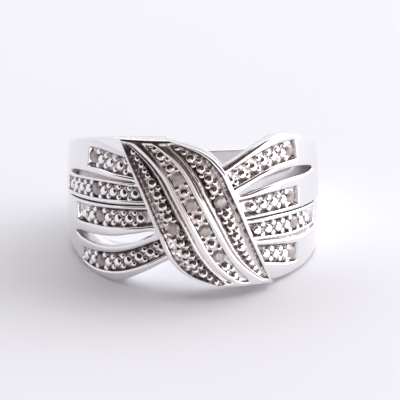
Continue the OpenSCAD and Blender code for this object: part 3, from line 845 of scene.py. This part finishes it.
def bead_shape(name, radius, foot, leans, sides):
    """A closed bead with its top at the origin. The skin's lean at each of its rings is in
    degrees, and its foot's depth in shares of its radius."""
    edge = math.sin(math.radians(CAP_LEAN))
    shoulder = (1 - CAP_ROUND * edge) / (1 - edge)
    cap_down = (CAP_ROUND - shoulder) * (1 - math.cos(math.radians(CAP_LEAN)))
    profile = []
    for lean in leans:
        out, down = math.sin(math.radians(lean)), 1 - math.cos(math.radians(lean))
        if lean > CAP_LEAN:
            profile.append((1 - shoulder * (1 - out), -cap_down - shoulder * down))
        else:
            profile.append((CAP_ROUND * out, -CAP_ROUND * down))
    profile.append((FOOT_R, -foot))
    bm = bmesh.new()
    rows = [[bm.verts.new((
        r * math.cos(2 * math.pi * k / sides), r * math.sin(2 * math.pi * k / sides), h))
        for k in range(sides)] for r, h in profile]
    peak = bm.verts.new((0, 0, 0))
    for k in range(sides):
        bm.faces.new((peak, rows[0][k], rows[0][(k + 1) % sides]))
        for a, b in zip(rows, rows[1:]):
            bm.faces.new((a[k], b[k], b[(k + 1) % sides], a[(k + 1) % sides]))
    bm.faces.new(rows[-1][::-1])
    mesh = bpy.data.meshes.new(name)
    bm.to_mesh(mesh)
    bm.free()
    mesh.transform(Matrix.Scale(radius / 1000, 4))
    return added(name, mesh)


# Geometry Nodes set a copy of the bead on every point, turned the way that the point faces
beading = bpy.data.node_groups.new("beading", "GeometryNodeTree")
sockets = beading.interface
for name, kind in (("Points", "Geometry"), ("Bead", "Object"), ("Metal", "Material")):
    sockets.new_socket(name, in_out="INPUT", socket_type="NodeSocket" + kind)
sockets.new_socket("Beads", in_out="OUTPUT", socket_type="NodeSocketGeometry")
given = node(beading, "NodeGroupInput")
bead = node(beading, "GeometryNodeObjectInfo", [("Object", given, "Bead")])
facing = node(beading, "GeometryNodeInputNamedAttribute", (), {"Name": "facing"},
              data_type="FLOAT_VECTOR")
turned = node(
    beading, "FunctionNodeAlignRotationToVector", [("Vector", facing, "Attribute")], axis="Z")
set_out = node(beading, "GeometryNodeInstanceOnPoints", [
    ("Points", given, "Points"), ("Instance", bead, "Geometry"), ("Rotation", turned, 0)])
real = node(beading, "GeometryNodeRealizeInstances", [("Geometry", set_out, 0)])
soft = node(beading, "GeometryNodeSetShadeSmooth", [("Geometry", real, 0)])
clad = node(
    beading, "GeometryNodeSetMaterial", [("Geometry", soft, 0), ("Material", given, "Metal")])
node(beading, "NodeGroupOutput", [(0, clad, 0)])


def beaded(name, places, below, *shape_values):
    """One mesh of all the beads of a kind, as a piece of the ring."""
    points = bead_points(name + "_points", places, below)
    shape = bead_shape(name + "_shape", *shape_values)
    modifier = points.modifiers.new("beading", "NODES")
    modifier.node_group = beading
    for item in sockets.items_tree:
        if item.in_out == "INPUT" and item.name in ("Bead", "Metal"):
            modifier[item.identifier] = {"Bead": shape, "Metal": bead_silver}[item.name]
    bpy.context.view_layer.update()
    done = points.evaluated_get(bpy.context.evaluated_depsgraph_get())
    mesh = bpy.data.meshes.new_from_object(done)
    mesh.name = name
    bpy.data.objects.remove(points)
    bpy.data.objects.remove(shape)
    piece = added(name, mesh)
    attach(piece, "root")
    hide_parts("ring_body")


# Burnished silver: the beading tool leaves a brighter and smoother mirror than the buff
bead_silver, tree, shader = new_material("burnished_silver_beads", {
    "Metallic": 1.0, "Base Color": linear("#F6F4F4")})
place = node(tree, "ShaderNodeTexCoord")
# Tool marks, in patches of 0.3 mm
haze = node(tree, "ShaderNodeTexNoise", [("Vector", place, "Object")], {"Scale": 1000 / 0.3})
rough = node(tree, "ShaderNodeMapRange", [("Value", haze, "Fac")],
             {"To Min": 0.02, "To Max": 0.10})
tree.links.new(rough.outputs[0], shader.inputs["Roughness"])

# Radius, depth of the foot, leans of the rings, and sides
beaded("large_beads", large, BEAD_BELOW, 0.37, 1.6, (6, 12, 25, 40, 56, 72, 90), 20)
beaded("small_beads", small, GRAIN_BELOW, 0.23, 2.2, (12, 34, 60, 90), 12)


# The stones: round single cuts, with a flat table and eight facets round it. Each lies in
# a cut seat, a little below the rails. Their cloudy body gives a dull, warm grey with only
# a soft shine, and little of the sparkle of a clear stone.
stone, tree, shader = new_material("taupe_single_cut_stone", {
    "IOR": 2.1, "Roughness": 0.09, "Transmission Weight": 0.35})
place = node(tree, "ShaderNodeTexCoord")
# Cloudy patches half a millimetre wide
cloud = node(tree, "ShaderNodeTexNoise", [("Vector", place, "Object")],
             {"Scale": 1000 / 0.5, "Detail": 3.0})
ramp = node(tree, "ShaderNodeValToRGB", [("Fac", cloud, "Fac")])
ramp.color_ramp.elements[0].position = 0.3
ramp.color_ramp.elements[0].color = linear("#BAACA6")
ramp.color_ramp.elements[1].position = 0.7
ramp.color_ramp.elements[1].color = linear("#E3D7D1")
tree.links.new(ramp.outputs[0], shader.inputs["Base Color"])
for name, cad_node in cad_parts.items():
    if name != "ring_body":
        cad_node.data.materials.clear()
        cad_node.data.materials.append(stone)


# The floor: a sheet of matt white paper that runs far behind the ring. It gives the eye a
# plain pale ground with soft grey shadows.
bpy.ops.mesh.primitive_plane_add(size=4.0, location=(0, 0, 0))
floor = bpy.context.active_object
floor.name = "floor"
paper, tree, shader = new_material("white_paper", {
    "Base Color": linear("#FAFBFF"), "Roughness": 0.6, "Specular IOR Level": 0.2})
floor.data.materials.append(paper)


# The camera: at the photograph's angle, with the ring's middle a little off the centre.
# Its angles are to the upright ring, which leans back as it lies.
AZIMUTH, ELEVATION, ROLL = math.radians(-1.65), math.radians(11.05), math.radians(0.87)
DISTANCE = 200.0
PIXELS_PER_MM, FRAME_PIXELS = 11.81, 400
RING_AT = (192.9, 190.3)      # the pixel at which the ring's middle lies
SENSOR = 36.0


def way_in_frame(v):
    """A direction of the upright ring, as the ring lies."""
    return Vector(laid(*[float(c) for c in v]) - laid(0.0, 0.0, 0.0)).normalized()


sin_a, cos_a = math.sin(AZIMUTH), math.cos(AZIMUTH)
sin_e, cos_e = math.sin(ELEVATION), math.cos(ELEVATION)
level_right = np.array([cos_a, sin_a, 0])
level_up = np.array([-sin_a * sin_e, cos_a * sin_e, cos_e])
ahead = np.array([-sin_a * cos_e, cos_a * cos_e, -sin_e])
right = level_right * math.cos(ROLL) - level_up * math.sin(ROLL)
up = level_right * math.sin(ROLL) + level_up * math.cos(ROLL)
half_frame = FRAME_PIXELS / 2
eye = (-ahead * DISTANCE + right * (half_frame - RING_AT[0]) / PIXELS_PER_MM
       - up * (half_frame - RING_AT[1]) / PIXELS_PER_MM)
camera = added("camera", bpy.data.cameras.new("camera"))
camera.data.sensor_width = SENSOR
camera.data.lens = SENSOR * PIXELS_PER_MM * DISTANCE / FRAME_PIXELS
camera.data.clip_start, camera.data.clip_end = 0.01, 10
x_way, y_way, z_way = way_in_frame(right), way_in_frame(up), -way_in_frame(ahead)
camera.matrix_world = Matrix.Translation(Vector(laid(*[float(c) for c in eye]))) @ Matrix(
    (x_way, y_way, z_way)).transposed().to_4x4()
bpy.context.scene.camera = camera


# The light: a bright white tent, brighter to the right, with a dark opening in front and
# above, where the metal finds its dark reflections, and a pale card under it. A soft lamp
# stands behind on the right, a broad one above, and a white card close on the right.
TENT = "#F5F4FA"
OPENING_AT = (-0.04, -0.60, 0.80)
LENS_CARD_AT = (-0.155, -0.976, 0.156)
RIGHT_AT = (0.92, -0.30, 0.20)
AIM = (0, 0, 0.006)       # the lamps look at the ring's middle, in metres

world = bpy.data.worlds.new("white_tent")
bpy.context.scene.world = world
world.use_nodes = True
tree = world.node_tree
tree.nodes.clear()
way_out = node(tree, "ShaderNodeTexCoord")


def toward(target, far, near, least=0, most=1):
    """Rises between two values, over two cosines of the angle to a direction."""
    dot = node(tree, "ShaderNodeVectorMath", [(0, way_out, "Generated")],
               {1: Vector(target).normalized()}, operation="DOT_PRODUCT")
    return node(tree, "ShaderNodeMapRange", [("Value", dot, "Value")],
                {"From Min": far, "From Max": near, "To Min": least, "To Max": most},
                interpolation_type="SMOOTHSTEP")


apart = node(tree, "ShaderNodeSeparateXYZ", [("Vector", way_out, "Generated")])
high = node(tree, "ShaderNodeMapRange", [("Value", apart, "Z")],
            {"From Min": 0.13, "From Max": 0.28}, interpolation_type="SMOOTHSTEP")
gap_in_tent = toward(OPENING_AT, 0.38, 0.52)
dark = node(tree, "ShaderNodeMath", [(0, gap_in_tent, 0), (1, high, 0)], operation="MULTIPLY")
lens_card = toward(LENS_CARD_AT, 0.91, 0.98)
dark = node(tree, "ShaderNodeMix", [(0, lens_card, 0), (2, dark, 0)], {3: 0.40})
opening = node(tree, "ShaderNodeValToRGB", [("Fac", dark, 0)])
ramp = opening.color_ramp
ramp.elements[0].color, ramp.elements[1].color = linear(TENT), linear("#382F2C")
for at, tint in ((0.35, "#DDD0D0"), (0.65, "#7A6865")):
    ramp.elements.new(at).color = linear(tint)
glow = toward(RIGHT_AT, 0.05, 0.85, 1.0, 3.2)
tent = node(tree, "ShaderNodeBackground", [("Color", opening, 0), ("Strength", glow, 0)])
node(tree, "ShaderNodeOutputWorld", [("Surface", tent, 0)])


def aimed(piece, at):
    """Puts a piece in its place, turned to the ring."""
    piece.location = at
    piece.rotation_euler = (Vector(AIM) - Vector(at)).to_track_quat("-Z", "Y").to_euler()


for name, size, energy, at in (("soft_lamp", 0.40, 0.40, (0.28, 0.16, 0.28)),
                               ("fill_lamp", 1.0, 2.3, (-0.15, 0.25, 0.75))):
    lamp = bpy.data.lights.new(name, "AREA")
    lamp.shape, lamp.size, lamp.energy = "DISK", size, energy
    aimed(added(name, lamp), at)

mesh = bpy.data.meshes.new("white_card")
mesh.from_pydata([(x, y, 0) for x, y in ((-1, -1), (1, -1), (1, 1), (-1, 1))], [], [(0, 1, 2, 3)])
mesh.transform(Matrix.Diagonal((0.014, 0.010, 1, 1)))      # half its width and height
card = added("white_card", mesh)
aimed(card, (0.030, -0.022, 0.010))
card.visible_camera = card.visible_diffuse = card.visible_shadow = False
white, tree, shader = new_material("lit_white_card", {
    "Base Color": linear("#FFFFFF"), "Emission Color": linear("#FFFFFF"),
    "Emission Strength": 1.3})
card.data.materials.append(white)

bpy.context.scene.view_settings.view_transform = "Standard"
